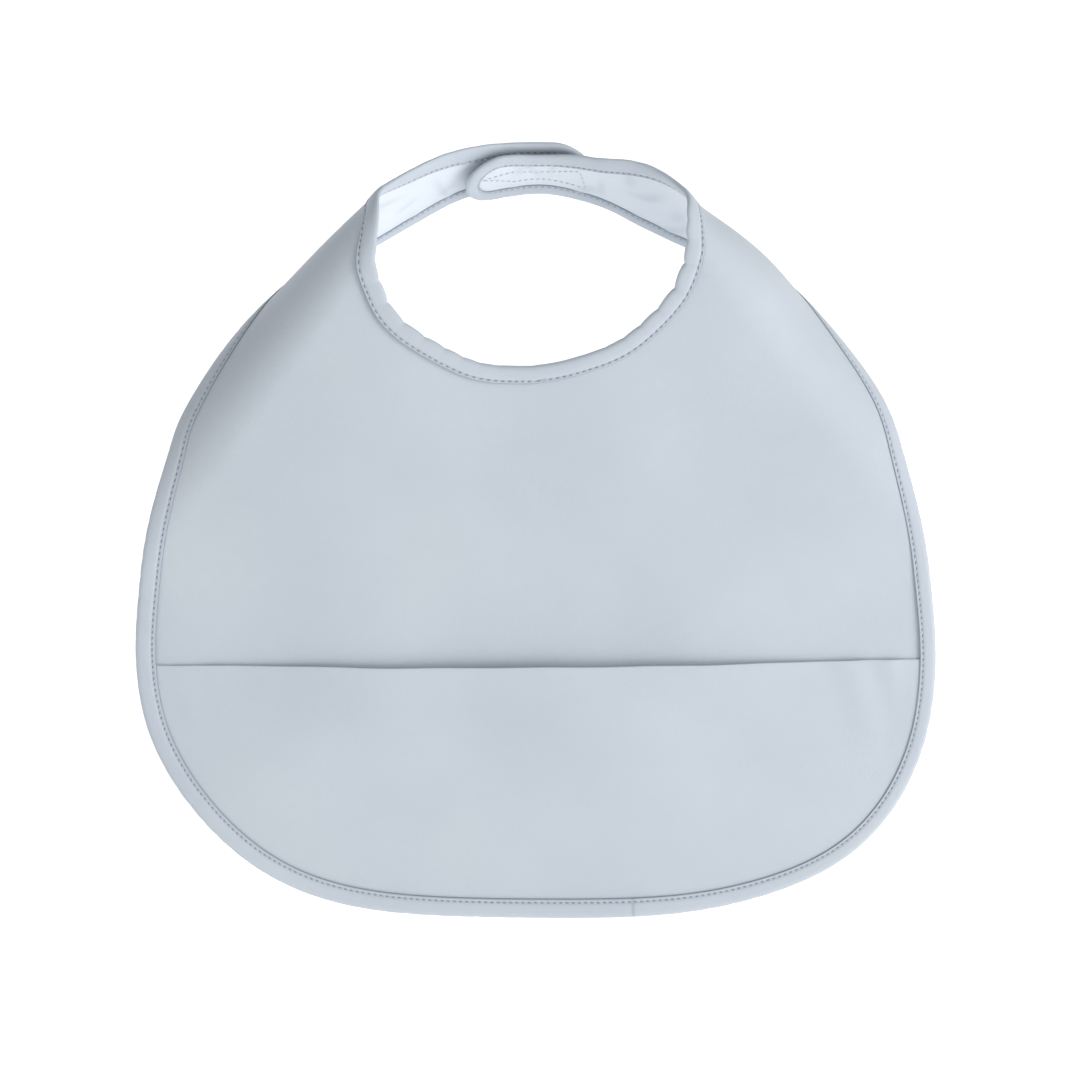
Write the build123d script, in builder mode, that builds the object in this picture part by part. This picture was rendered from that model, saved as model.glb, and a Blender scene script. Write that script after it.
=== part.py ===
from build123d import *
import os
from math import atan, cos, degrees, radians, sin, sqrt

# A bib of coated cloth, closed round the neck. Units are mm and degrees.
# Frame: origin at the centre of the neck opening, +Z up, +X to the right of someone
# facing the bib, and the front panel faces -Y.
#
# The cloth is cut flat. Its pattern is drawn in polar form about one point, the apex,
# as a distance from the apex at each angle from centre front. The made-up bib is the
# same pattern bent without stretch: flat in front, rolled over each shoulder on a
# narrow cone, then carried round the back of the neck on a wide cone.

# ---- the frame -----------------------------------------------------------------
neck_behind_front = 20.0      # from the front panel back to the centre of the neck
neck_above_hem = 252.0        # from the bottom edge up to the centre of the neck
apex_above_hem = 341.2        # the apex lies in the plane of the front panel

# ---- the bends -----------------------------------------------------------------
fold_start = 35.4             # pattern angle where the flat front ends
fold_half_angle = 8.0         # of the narrow cone over the shoulder
fold_turn = 108.5             # how far the cloth goes round that cone

# ---- the body of the bib ---------------------------------------------------------
body_half_width = 151.0
widest_above_hem = 102.0
across_power = 3.0            # roundness of the lower corners: both 2 would be an ellipse
below_power = 2.2
side_pattern = [(36, 251.0), (42, 202.5), (50, 154.0), (60, 132.5), (69, 124.5), (76, 111.0),
                (82, 100.5), (89, 94.5), (100, 92.5), (125, 92.5)]
neck_pattern = [(0, 126.0), (10, 124.0), (20, 118.5), (28, 112.0), (34, 102.5), (38, 94.0), (42, 88.0),
                (47, 85.0), (53, 81.5), (60, 76.0), (68, 70.5), (76, 67.3), (88, 65.2), (125, 65.2)]

# ---- cloth, binding and thread -----------------------------------------------------
cloth = 0.4                   # one layer
ply_gap = 0.1                 # between layers that lie on each other
binding_width = 7.5           # finished, on the coated face
binding_turn_in = 6.0         # finished, on the lining
binding_nose = 1.3            # how far the binding reaches past the cloth's edge
stitch_inset = 1.0            # from the binding's inner edge to the row of stitches
thread = 0.5
thread_height = 0.25

# ---- pocket ------------------------------------------------------------------------
mouth_above_hem = 102.0
pocket_gape = 9.0             # how far the mouth stands off the front panel
pocket_flat_hem = 9.0         # height of the part that stays flat against the panel

# ---- straps ------------------------------------------------------------------------
strap_split = 58.0            # pattern angle of the shoulder line where each strap hinges
hinge_gap = 0.12              # half the angle left clear at that line
left_tip_past_centre = 16.0   # the left strap lies outside
right_tip_past_centre = 17.5  # the right strap lies next to the neck
under_lap = 5.0               # how far the right strap lies inside the left one
lap_start = 60.0
lap_full = 80.0
patch_before_centre = 15.0
patch_past_centre = 7.0
patch_edge_clear = 0.6        # from the patch to the binding beside it
patch_height = 1.85           # hooks or pile included

# ---- derived -----------------------------------------------------------------------
layer = ply_gap / 2 + cloth                 # outer face of a layer, from the middle of the sheet
rim_slot = layer + ply_gap                  # inner face of the binding
rim = rim_slot + cloth                      # outer face of the binding
pocket_stack = 2 * (cloth + ply_gap)        # what the pocket's two layers add in front
widest_angle = degrees(atan(body_half_width / (apex_above_hem - widest_above_hem)))

apex = Vector(0, -neck_behind_front, apex_above_hem - neck_above_hem)
centre = Vector(0, 0, 0)
front_edge = Vector(sin(radians(fold_start)), 0, -cos(radians(fold_start)))
fold_axis = Vector(cos(radians(fold_half_angle)) * sin(radians(fold_start)),
                   sin(radians(fold_half_angle)),
                   -cos(radians(fold_half_angle)) * cos(radians(fold_start)))
fold_finish = front_edge.rotate(Axis(centre, fold_axis), -fold_turn)
back_axis = fold_finish.cross(fold_axis).cross(Vector(1, 0, 0)).normalized()
if back_axis.Z > 0:
    back_axis = back_axis * -1
back_half_angle = back_axis.get_angle(fold_finish)
back_side = fold_finish - back_axis * fold_finish.dot(back_axis)
back_middle = Vector(0, back_side.Y, back_side.Z)
back_turn = back_side.get_angle(back_middle)
fold_end = fold_start + fold_turn * sin(radians(fold_half_angle))
centre_back = fold_end + back_turn * sin(radians(back_half_angle))


# ---- the bent surface ----------------------------------------------------------------
def directions(angle):
    """The direction from the apex along the cloth, and the direction round it."""
    turn = abs(angle)
    flat = radians(min(turn, fold_start))
    out = Vector(sin(flat), 0, -cos(flat))
    around = Vector(cos(flat), 0, sin(flat))
    on_fold = min(max(turn - fold_start, 0), fold_end - fold_start)
    on_back = max(turn - fold_end, 0)
    for axis, part, half_angle in ((fold_axis, on_fold, fold_half_angle),
                                   (back_axis, on_back, back_half_angle)):
        spin = -part / sin(radians(half_angle))
        out = out.rotate(Axis(centre, axis), spin)
        around = around.rotate(Axis(centre, axis), spin)
    if angle < 0:
        out = Vector(-out.X, out.Y, out.Z)
        around = Vector(around.X, -around.Y, -around.Z)
    return out, around


def rib_plane(angle):
    """Local X runs from the apex along the cloth and local Y out of the coated face."""
    out, around = directions(angle)
    return Plane(origin=apex, x_dir=out, z_dir=around * -1)


def smooth_step(low, high, value):
    part = min(max((value - low) / (high - low), 0), 1)
    return part * part * (3 - 2 * part)


def span(start, end, step):
    """Evenly spaced values from start to end, both included."""
    count = max(int(abs(end - start) / step + 0.5), 1)
    return [start + (end - start) * i / count for i in range(count + 1)]


# ---- the pattern ---------------------------------------------------------------------
def corner_radius(angle):
    """Distance from the apex to the rounded lower corner, found by halving."""
    near, far = 200.0, 400.0
    while far - near > 0.001:
        middle = (near + far) / 2
        across = abs(middle * sin(radians(angle))) / body_half_width
        below = (widest_above_hem - apex_above_hem + middle * cos(radians(angle))) / widest_above_hem
        inside = across ** across_power + max(below, 0) ** below_power < 1
        near, far = (middle, far) if inside else (near, middle)
    return near


outer_pattern = [(angle, corner_radius(angle)) for angle in span(0, widest_angle, 3)] + side_pattern


def read_pattern(points, angle):
    """A smooth curve through the pattern's points, level at centre front."""
    turn = abs(angle)
    angles = [point[0] for point in points]
    radii = [point[1] for point in points]
    i = 0
    while i < len(points) - 2 and angles[i + 1] <= turn:
        i += 1

    def slope(k):
        if k == 0:
            return 0.0
        if k == len(points) - 1:
            return (radii[k] - radii[k - 1]) / (angles[k] - angles[k - 1])
        return (radii[k + 1] - radii[k - 1]) / (angles[k + 1] - angles[k - 1])

    width = angles[i + 1] - angles[i]
    t = (turn - angles[i]) / width
    rise = radii[i + 1] - radii[i]
    ease = t * t * (3 - 2 * t)
    return (radii[i] + rise * ease
            + width * slope(i) * t * (1 - t) ** 2
            - width * slope(i + 1) * t * t * (1 - t))


def offset_radius(points, angle, depth):
    """The pattern's edge moved out by a depth measured square to the edge."""
    radius = read_pattern(points, angle)
    step = 0.5
    slope = (read_pattern(points, abs(angle) + step) - radius) / radians(step)
    return radius + depth * sqrt(1 + (slope / radius) ** 2)


def neck_edge(angle, depth=0.0):
    return offset_radius(neck_pattern, angle, depth)


def outer_edge(angle, depth=0.0):
    return offset_radius(outer_pattern, angle, -depth)


def in_front(angle):
    """What the pocket's layers add to the thickness at the lower edge."""
    return pocket_stack * (1 - smooth_step(widest_angle + 1, widest_angle + 6, abs(angle)))


def strap_edges(angle, tip, depth):
    """Both edges of a strap, drawn in by a depth, closing in a half round at the tip."""
    near = neck_edge(angle, depth)
    far = outer_edge(angle, depth)
    middle = (near + far) / 2
    half = (far - near) / 2
    end = tip - degrees(depth / middle)
    round_start = end - degrees(half / middle)
    if abs(angle) > round_start:
        part = min((abs(angle) - round_start) / (end - round_start), 1)
        half = half * sqrt(1 - part * part)
    return middle - half, middle + half


def strap_angles(start, tip, depth):
    """Ribs along a strap, closer together round the tip."""
    near, far = strap_edges(centre_back, tip, depth)
    middle = (near + far) / 2
    end = tip - degrees(depth / middle)
    round_start = end - degrees((far - near) / 2 / middle)
    tip_parts = (0.3, 0.55, 0.75, 0.88, 0.95, 0.99)
    return span(start, round_start, 2) + [round_start + (end - round_start) * part for part in tip_parts]


def left_lay(angle):
    """The left strap follows the bent surface itself."""
    return 0.0


def right_lay(angle):
    """The right strap eases inward so that it passes inside the left one."""
    return -under_lap * smooth_step(lap_start, lap_full, abs(angle))


# ---- ribs: one cross-section of a piece, drawn at one pattern angle ---------------------
def block_rib(angle, near, far, low, high):
    with BuildSketch(rib_plane(angle)) as rib:
        with BuildLine():
            Polyline((near, low), (far, low), (far, high), (near, high), close=True)
        make_face()
    return rib.sketch


def binding_rib(angle, edge, inner, turned, nose, front):
    """A folded strip round an edge. The nose is rounded by two short facets on each side."""
    tip_way = 1 if edge > inner else -1
    shoulder = 0.45 * tip_way
    with BuildSketch(rib_plane(angle)) as rib:
        with BuildLine():
            Polyline((turned, -rim), (edge - shoulder, -rim), (edge, -rim / 2),
                     (edge, front + rim / 2), (edge - shoulder, front + rim), (inner, front + rim),
                     (inner, front + rim_slot), (nose, front + rim_slot),
                     (nose, -rim_slot), (turned, -rim_slot), close=True)
        make_face()
    return rib.sketch


# ---- front panel and its lining ----------------------------------------------------------
body_angles = span(-strap_split + hinge_gap, strap_split - hinge_gap, 3)

with BuildPart() as front_panel:
    loft([block_rib(a, neck_edge(a, binding_nose), outer_edge(a, binding_nose), ply_gap / 2, layer)
          for a in body_angles])

with BuildPart() as panel_lining:
    loft([block_rib(a, neck_edge(a, binding_nose), outer_edge(a, binding_nose), -layer, -ply_gap / 2)
          for a in body_angles])

# ---- binding of the outer edge and of the neck -----------------------------------------------
with BuildPart() as edge_binding:
    loft([binding_rib(a, outer_edge(a), outer_edge(a, binding_width), outer_edge(a, binding_turn_in),
                      outer_edge(a, binding_nose / 2), in_front(a))
          for a in body_angles])

with BuildPart() as neck_binding:
    loft([binding_rib(a, neck_edge(a), neck_edge(a, binding_width), neck_edge(a, binding_turn_in),
                      neck_edge(a, binding_nose / 2), 0)
          for a in body_angles])

# ---- the rows of stitches along both bindings --------------------------------------------------
seam_near = binding_width - stitch_inset
seam_far = binding_width - stitch_inset - thread
seam_foot = rim + ply_gap / 2
seam_top = seam_foot + thread_height

with BuildPart() as edge_thread:
    loft([block_rib(a, outer_edge(a, seam_near), outer_edge(a, seam_far),
                    in_front(a) + seam_foot, in_front(a) + seam_top)
          for a in body_angles])

with BuildPart() as neck_thread:
    loft([block_rib(a, neck_edge(a, seam_far), neck_edge(a, seam_near), seam_foot, seam_top)
          for a in body_angles])


# ---- catch pocket: level ribs from the bottom edge up to the mouth -------------------------------
def pocket_half_width(above_hem):
    """Half the width of the cloth at a height, inside the binding's nose."""
    half = body_half_width - binding_nose
    drop = widest_above_hem - binding_nose
    below = max((widest_above_hem - above_hem) / drop, 0)
    return half * (1 - below ** below_power) ** (1 / across_power)


def pocket_rib(above_hem, low, high):
    half = pocket_half_width(above_hem)
    gape = pocket_gape * smooth_step(pocket_flat_hem, mouth_above_hem + 30, above_hem) / \
        smooth_step(pocket_flat_hem, mouth_above_hem + 30, mouth_above_hem)
    shares = span(-1, 1, 0.25)
    across = [half * share for share in shares]
    stand_off = [gape * (1 - share * share) ** 2 for share in shares]
    level = Plane(origin=(0, -neck_behind_front, above_hem - neck_above_hem), z_dir=(0, 0, 1))
    with BuildSketch(level) as rib:
        with BuildLine():
            back = Spline([(x, -(low + d)) for x, d in zip(across, stand_off)])
            front = Spline([(x, -(high + d)) for x, d in zip(across, stand_off)])
            Line(back @ 0, front @ 0)
            Line(back @ 1, front @ 1)
        make_face()
    return rib.sketch


pocket_heights = [binding_nose + 0.2, 4, 8, 14, 22, 34, 50, 68, 85, mouth_above_hem]
first_ply = layer + ply_gap
second_ply = first_ply + cloth + ply_gap

with BuildPart() as pocket_lining:
    loft([pocket_rib(z, first_ply, first_ply + cloth) for z in pocket_heights])

with BuildPart() as pocket_panel:
    loft([pocket_rib(z, second_ply, second_ply + cloth) for z in pocket_heights])


# ---- straps ------------------------------------------------------------------------------------
def strap_block(side, lay, tip, start, depth, low, high, mode=Mode.ADD, ruled=False):
    """A sheet in the shape of a strap, drawn in by a depth, at heights from the sheet's middle."""
    ribs = []
    for angle in strap_angles(start, tip, depth):
        near, far = strap_edges(angle, tip, depth)
        ribs.append(block_rib(side * angle, near, far, lay(angle) + low, lay(angle) + high))
    loft(ribs, ruled=ruled, mode=mode)


def patch_block(side, lay, low, high, inset=0.0, mode=Mode.ADD):
    """A rectangle between the bindings, over the middle of the back of the neck."""
    margin = degrees(inset / neck_edge(centre_back))
    ribs = []
    for angle in span(centre_back - patch_before_centre + margin,
                      centre_back + patch_past_centre - margin, 2):
        near = neck_edge(angle, binding_width + patch_edge_clear + inset)
        far = outer_edge(angle, binding_width + patch_edge_clear + inset)
        ribs.append(block_rib(side * angle, near, far, lay(angle) + low, lay(angle) + high))
    loft(ribs, mode=mode)


left_tip = centre_back + left_tip_past_centre
right_tip = centre_back + right_tip_past_centre
strap_start = strap_split + hinge_gap
past_start = strap_start - 2.0

with BuildPart() as left_strap_panel:
    strap_block(-1, left_lay, left_tip, strap_start, binding_nose, ply_gap / 2, layer)

with BuildPart() as left_strap_lining:
    strap_block(-1, left_lay, left_tip, strap_start, binding_nose, -layer, -ply_gap / 2)

with BuildPart() as left_strap_binding:
    strap_block(-1, left_lay, left_tip, strap_start, 0, -rim, rim)
    strap_block(-1, left_lay, left_tip, past_start, binding_nose / 2, -rim_slot, rim_slot, Mode.SUBTRACT)
    strap_block(-1, left_lay, left_tip, past_start, binding_width, 0, 2 * rim, Mode.SUBTRACT)
    strap_block(-1, left_lay, left_tip, past_start, binding_turn_in, -2 * rim, 0, Mode.SUBTRACT)

with BuildPart() as left_strap_thread:
    strap_block(-1, left_lay, left_tip, strap_start, seam_far, seam_foot, seam_top, Mode.ADD, True)
    strap_block(-1, left_lay, left_tip, past_start, seam_near, rim, seam_top + ply_gap, Mode.SUBTRACT, True)

with BuildPart() as loop_patch:
    patch_block(-1, left_lay, -layer - ply_gap / 2 - patch_height, -layer - ply_gap / 2)

with BuildPart() as loop_patch_thread:
    patch_block(-1, left_lay, layer + ply_gap / 2, layer + ply_gap / 2 + thread_height, stitch_inset)
    patch_block(-1, left_lay, 0, 2 * rim, stitch_inset + thread, Mode.SUBTRACT)

with BuildPart() as right_strap_panel:
    strap_block(1, right_lay, right_tip, strap_start, binding_nose, ply_gap / 2, layer)

with BuildPart() as right_strap_lining:
    strap_block(1, right_lay, right_tip, strap_start, binding_nose, -layer, -ply_gap / 2)

with BuildPart() as right_strap_binding:
    strap_block(1, right_lay, right_tip, strap_start, 0, -rim, rim)
    strap_block(1, right_lay, right_tip, past_start, binding_nose / 2, -rim_slot, rim_slot, Mode.SUBTRACT)
    strap_block(1, right_lay, right_tip, past_start, binding_width, 0, 2 * rim, Mode.SUBTRACT)
    strap_block(1, right_lay, right_tip, past_start, binding_turn_in, -2 * rim, 0, Mode.SUBTRACT)

with BuildPart() as right_strap_thread:
    strap_block(1, right_lay, right_tip, strap_start, seam_far, seam_foot, seam_top, Mode.ADD, True)
    strap_block(1, right_lay, right_tip, past_start, seam_near, rim, seam_top + ply_gap, Mode.SUBTRACT, True)

with BuildPart() as hook_patch:
    patch_block(1, right_lay, layer + ply_gap / 2, layer + ply_gap / 2 + patch_height)

with BuildPart() as hook_patch_thread:
    patch_block(1, right_lay, -layer - ply_gap / 2 - thread_height, -layer - ply_gap / 2, stitch_inset)
    patch_block(1, right_lay, -2 * rim, 0, stitch_inset + thread, Mode.SUBTRACT)

# ---- one file for each piece -----------------------------------------------------------------
os.makedirs("parts", exist_ok=True)

front_panel.part.label = "front_panel"
export_step(front_panel.part, "parts/front_panel.step")
panel_lining.part.label = "panel_lining"
export_step(panel_lining.part, "parts/panel_lining.step")
edge_binding.part.label = "edge_binding"
export_step(edge_binding.part, "parts/edge_binding.step")
edge_thread.part.label = "edge_thread"
export_step(edge_thread.part, "parts/edge_thread.step")
neck_binding.part.label = "neck_binding"
export_step(neck_binding.part, "parts/neck_binding.step")
neck_thread.part.label = "neck_thread"
export_step(neck_thread.part, "parts/neck_thread.step")
pocket_panel.part.label = "pocket_panel"
export_step(pocket_panel.part, "parts/pocket_panel.step")
pocket_lining.part.label = "pocket_lining"
export_step(pocket_lining.part, "parts/pocket_lining.step")
left_strap_panel.part.label = "left_strap_panel"
export_step(left_strap_panel.part, "parts/left_strap_panel.step")
left_strap_lining.part.label = "left_strap_lining"
export_step(left_strap_lining.part, "parts/left_strap_lining.step")
left_strap_binding.part.label = "left_strap_binding"
export_step(left_strap_binding.part, "parts/left_strap_binding.step")
left_strap_thread.part.label = "left_strap_thread"
export_step(left_strap_thread.part, "parts/left_strap_thread.step")
loop_patch.part.label = "loop_patch"
export_step(loop_patch.part, "parts/loop_patch.step")
loop_patch_thread.part.label = "loop_patch_thread"
export_step(loop_patch_thread.part, "parts/loop_patch_thread.step")
right_strap_panel.part.label = "right_strap_panel"
export_step(right_strap_panel.part, "parts/right_strap_panel.step")
right_strap_lining.part.label = "right_strap_lining"
export_step(right_strap_lining.part, "parts/right_strap_lining.step")
right_strap_binding.part.label = "right_strap_binding"
export_step(right_strap_binding.part, "parts/right_strap_binding.step")
right_strap_thread.part.label = "right_strap_thread"
export_step(right_strap_thread.part, "parts/right_strap_thread.step")
hook_patch.part.label = "hook_patch"
export_step(hook_patch.part, "parts/hook_patch.step")
hook_patch_thread.part.label = "hook_patch_thread"
export_step(hook_patch_thread.part, "parts/hook_patch_thread.step")
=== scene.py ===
"""A baby's bib of coated cloth, bent from its flat pattern and closed behind the neck."""
from math import atan, cos, degrees, pi, radians, sin

import bpy
import numpy as np
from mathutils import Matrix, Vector


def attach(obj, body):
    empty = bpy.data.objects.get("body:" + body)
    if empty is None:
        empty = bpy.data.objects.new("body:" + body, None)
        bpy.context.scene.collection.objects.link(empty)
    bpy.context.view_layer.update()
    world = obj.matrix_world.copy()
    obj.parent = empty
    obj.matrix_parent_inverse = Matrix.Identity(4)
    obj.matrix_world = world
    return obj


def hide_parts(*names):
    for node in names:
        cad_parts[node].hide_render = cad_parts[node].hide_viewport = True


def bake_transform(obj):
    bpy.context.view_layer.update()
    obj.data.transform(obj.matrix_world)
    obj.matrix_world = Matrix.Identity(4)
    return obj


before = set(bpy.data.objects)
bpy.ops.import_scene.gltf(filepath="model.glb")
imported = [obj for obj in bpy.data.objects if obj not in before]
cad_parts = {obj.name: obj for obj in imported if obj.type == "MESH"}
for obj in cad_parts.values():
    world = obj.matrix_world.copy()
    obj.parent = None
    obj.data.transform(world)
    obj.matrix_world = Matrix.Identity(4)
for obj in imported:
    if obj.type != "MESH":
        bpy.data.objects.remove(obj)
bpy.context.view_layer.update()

# ---- the pattern and the bends, in mm and degrees --------------------------------------
# The CAD model has the same values except where a comment says otherwise.
NECK_BEHIND_FRONT = 20.0
NECK_ABOVE_HEM = 252.0
APEX_ABOVE_HEM = 341.2
FOLD_START = 35.4
FOLD_HALF_ANGLE = 8.0
FOLD_TURN = 108.5
BODY_HALF_WIDTH = 151.0
WIDEST_ABOVE_HEM = 102.0
ACROSS_POWER = 3.0
BELOW_POWER = 2.2
# The pattern's edges, as the angle from centre front and the distance from the apex.
SIDE_PATTERN = [(36, 251.0), (42, 202.5), (50, 154.0), (60, 132.5), (69, 124.5), (76, 111.0),
                (82, 100.5), (89, 94.5), (100, 92.5), (125, 92.5)]
NECK_PATTERN = [(0, 126.0), (10, 124.0), (20, 118.5), (28, 112.0), (34, 102.5), (38, 94.0), (42, 88.0),
                (47, 85.0), (53, 81.5), (60, 76.0), (68, 70.5), (76, 67.3), (88, 65.2), (125, 65.2)]
STRAP_SPLIT = 58.0            # the shoulder line, where each strap hinges
BODY_LIMIT = 50.5             # here the body's pieces end and the straps' pieces begin
LEFT_TIP_PAST_CENTRE = 16.0
RIGHT_TIP_PAST_CENTRE = 20.0  # 17.5 in the CAD model
UNDER_LAP = 5.0
LAP_START = 60.0
LAP_FULL = 80.0
MOUTH_ABOVE_HEM = 101.0       # 102.0 in the CAD model
POCKET_GAPE = 3.6             # how far the mouth stands off the panel; 9.0 in the CAD model
POCKET_FLAT_HEM = 9.0
LEFT_CORNER = -4.2            # the lower left corner is cut rounder, and the right one squarer
RIGHT_CORNER = 1.8
TIP_DROOP = 1.6               # the right strap's tip hangs this much lower
TIP_ROUND = 10.0              # a strap's end is rounded over this angle

# ---- cloth and sewing, in mm -------------------------------------------------------------
LAYER = 0.45                  # outer face of a layer, from the middle of the sheet
PLY = 0.03                    # inner face of a layer
EDGE_WIDTHS = (7.6, 7.0, 6.15)      # binding on the face, binding on the lining, depth of the seam
NECK_WIDTHS = (6.5, 6.3, 5.5)
STRAP_WIDTHS = (6.1, 5.7, 4.9)
STITCH_PITCH = 2.4
STITCH_LENGTH = 1.45
STITCH_RADIUS = 0.23
POCKET_STACK = 1.0            # what the pocket's two layers add in front
MM = 0.001

APEX = np.array([0.0, -NECK_BEHIND_FRONT, APEX_ABOVE_HEM - NECK_ABOVE_HEM])


# ---- bending the flat pattern --------------------------------------------------------------
def unit(vector):
    """The same direction, with length one."""
    return vector / np.linalg.norm(vector)


def turned(vectors, axis, angles):
    """Each vector turned about one axis by its own angle, in radians."""
    c, s = np.cos(angles)[:, None], np.sin(angles)[:, None]
    along = (vectors @ axis)[:, None] * axis
    return vectors * c + np.cross(axis, vectors) * s + along * (1 - c)


def bend_axes():
    """The axes of the shoulder's cone and the neck's cone, and where each begins and ends."""
    start, half = radians(FOLD_START), radians(FOLD_HALF_ANGLE)
    front = np.array([[sin(start), 0, -cos(start)]])
    fold = np.array([cos(half) * sin(start), sin(half), -cos(half) * cos(start)])
    finish = turned(front, fold, np.array([-radians(FOLD_TURN)]))[0]
    back = unit(np.cross(np.cross(finish, fold), [1.0, 0, 0]))
    back = back if back[2] < 0 else -back
    back_half = np.arccos(back @ finish)
    side = finish - back * (finish @ back)
    middle = np.array([0, side[1], side[2]])
    back_turn = np.arccos(unit(side) @ unit(middle))
    fold_end = FOLD_START + FOLD_TURN * sin(half)
    return fold, back, back_half, fold_end, fold_end + degrees(back_turn) * sin(back_half)


FOLD_AXIS, BACK_AXIS, BACK_HALF, FOLD_END, CENTRE_BACK = bend_axes()


def directions(angles):
    """For each pattern angle: along the cloth from the apex, round it, and out of its face."""
    angles = np.atleast_1d(np.asarray(angles, float))
    turn = np.abs(angles)
    flat = np.radians(np.minimum(turn, FOLD_START))
    out = np.stack([np.sin(flat), 0 * flat, -np.cos(flat)], 1)
    around = np.stack([np.cos(flat), 0 * flat, np.sin(flat)], 1)
    on_fold = np.radians(np.clip(turn - FOLD_START, 0, FOLD_END - FOLD_START))
    on_back = np.radians(np.maximum(turn - FOLD_END, 0))
    for axis, part, half in ((FOLD_AXIS, on_fold, radians(FOLD_HALF_ANGLE)),
                             (BACK_AXIS, on_back, BACK_HALF)):
        out = turned(out, axis, -part / sin(half))
        around = turned(around, axis, -part / sin(half))
    left = angles < 0
    out[left, 0] *= -1
    around[left, 1:] *= -1
    return out, around, np.cross(out, around)


def step(low, high, value):
    """Rises smoothly from 0 at the low end to 1 at the high end."""
    part = np.clip((np.asarray(value, float) - low) / (high - low), 0, 1)
    return part * part * (3 - 2 * part)


def lay(angles):
    """The right strap eases inward so that it passes inside the left one."""
    angles = np.asarray(angles, float)
    return np.where(angles > 0, -UNDER_LAP * step(LAP_START, LAP_FULL, np.abs(angles)), 0.0)


def hump(value, centre, width):
    """A smooth bump of height one. On the pattern its centre and width are in degrees."""
    return np.exp(-((np.asarray(value, float) - centre) / width) ** 2)


def drape(angles, radii):
    """How far the relaxed cloth stands off the plain bent surface, outward."""
    turn = np.abs(angles)
    a, r = np.radians(angles), np.asarray(radii, float)
    x, z = r * np.sin(a), -r * np.cos(a)
    waves = (0.55 * np.sin(x / 27 + 0.6 * np.sin(z / 41) + 0.5) * np.sin(z / 58 + 1.1)
             + 0.40 * np.sin(x / 16 - z / 35 + 2.0) * np.sin(z / 31 + 0.4)
             + 0.25 * np.sin(x / 11 + z / 19 + 0.9))
    body = 1 - step(42, 58, turn)
    right = (angles > 0) * hump(turn, 48, 8) * (2.2 * hump(r, 125, 22) - 1.6 * hump(r, 90, 12))
    return waves * (0.25 + 0.75 * body) * (1 - step(68, 78, turn)) + right


def bent(angles, radii, heights, relaxed=True):
    """Points of the bib, in metres in the row frame, from angle and distance on the pattern."""
    angles, radii, heights = np.broadcast_arrays(
        *(np.asarray(values, float) for values in (angles, radii, heights)))
    shape = angles.shape
    a, r, h = angles.ravel(), radii.ravel(), heights.ravel()
    out, _, face = directions(a)
    h = h + lay(a) + (drape(a, r) if relaxed else 0.0)
    points = APEX + out * r[:, None] + face * h[:, None]
    return (points * MM).reshape(shape + (3,))


# ---- the pattern's edges -----------------------------------------------------------------
def corner_radius(angle):
    """Distance from the apex to the rounded lower corner, found by halving."""
    near, far = 200.0, 400.0
    while far - near > 0.001:
        middle = (near + far) / 2
        across = middle * sin(radians(angle)) / BODY_HALF_WIDTH
        below = (WIDEST_ABOVE_HEM - APEX_ABOVE_HEM + middle * cos(radians(angle))) / WIDEST_ABOVE_HEM
        inside = across ** ACROSS_POWER + max(below, 0) ** BELOW_POWER < 1
        near, far = (middle, far) if inside else (near, middle)
    return near


WIDEST_ANGLE = degrees(atan(BODY_HALF_WIDTH / (APEX_ABOVE_HEM - WIDEST_ABOVE_HEM)))
OUTER_PATTERN = [(a, corner_radius(a)) for a in np.linspace(0, WIDEST_ANGLE, 11)] + SIDE_PATTERN


def read_pattern(points, angles):
    """A smooth curve through the pattern's points, level at centre front."""
    x = np.array([point[0] for point in points], float)
    y = np.array([point[1] for point in points], float)
    slope = np.zeros(len(x))
    slope[1:-1] = (y[2:] - y[:-2]) / (x[2:] - x[:-2])
    turn = np.abs(np.asarray(angles, float))
    i = np.clip(np.searchsorted(x, turn, side="right") - 1, 0, len(x) - 2)
    width = x[i + 1] - x[i]
    t = (turn - x[i]) / width
    rise = y[i + 1] - y[i]
    return (y[i] + rise * t * t * (3 - 2 * t)
            + width * slope[i] * t * (1 - t) ** 2
            - width * slope[i + 1] * t * t * (1 - t))


def neck_edge(angles):
    """The hole has relaxed a little to the left of centre, and the right strap's top edge is lower."""
    turn = np.abs(angles)
    shift = (3.2 * hump(turn, 27, 12) + 1.4 * hump(turn, 9, 6)) * np.sign(angles)
    lowered = (1.3 * hump(angles, 101, 12) + TIP_DROOP * step(106, 118, angles)
               + 1.8 * hump(angles, -35, 3.2))
    return read_pattern(NECK_PATTERN, angles) - shift - 1.0 * hump(turn, 2, 7) + lowered


def outer_edge(angles):
    """The shoulders stand out a little, and the left lower corner is rounder than the right.

    The right strap is narrower near the centre of the back, which lets its tip droop.
    """
    turn = np.abs(angles)
    shoulders = 2.6 * hump(turn, 39.5, 4.5) + 3.0 * hump(turn, 43.5, 2.5)
    corner = np.where(np.asarray(angles) < 0,
                      LEFT_CORNER * hump(turn, 24, 6.5), RIGHT_CORNER * hump(turn, 22, 7))
    corner = corner + 3.0 * hump(angles, 45, 2.5) + 1.5 * hump(angles, -43, 1.5)
    strap = -3.2 * hump(angles, 99, 9) - 1.3 * hump(angles, 77, 11) + TIP_DROOP * step(106, 118, angles)
    return read_pattern(OUTER_PATTERN, angles) + shoulders + corner + strap


def to_flat(angles, radii):
    """Places on the flat cloth, in mm across and up from the apex."""
    a = np.radians(angles)
    return np.stack([radii * np.sin(a), -radii * np.cos(a)], -1)


def to_polar(points):
    """The reverse of to_flat."""
    radii = np.hypot(points[..., 0], points[..., 1])
    return np.degrees(np.arctan2(points[..., 0], -points[..., 1])), radii


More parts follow.
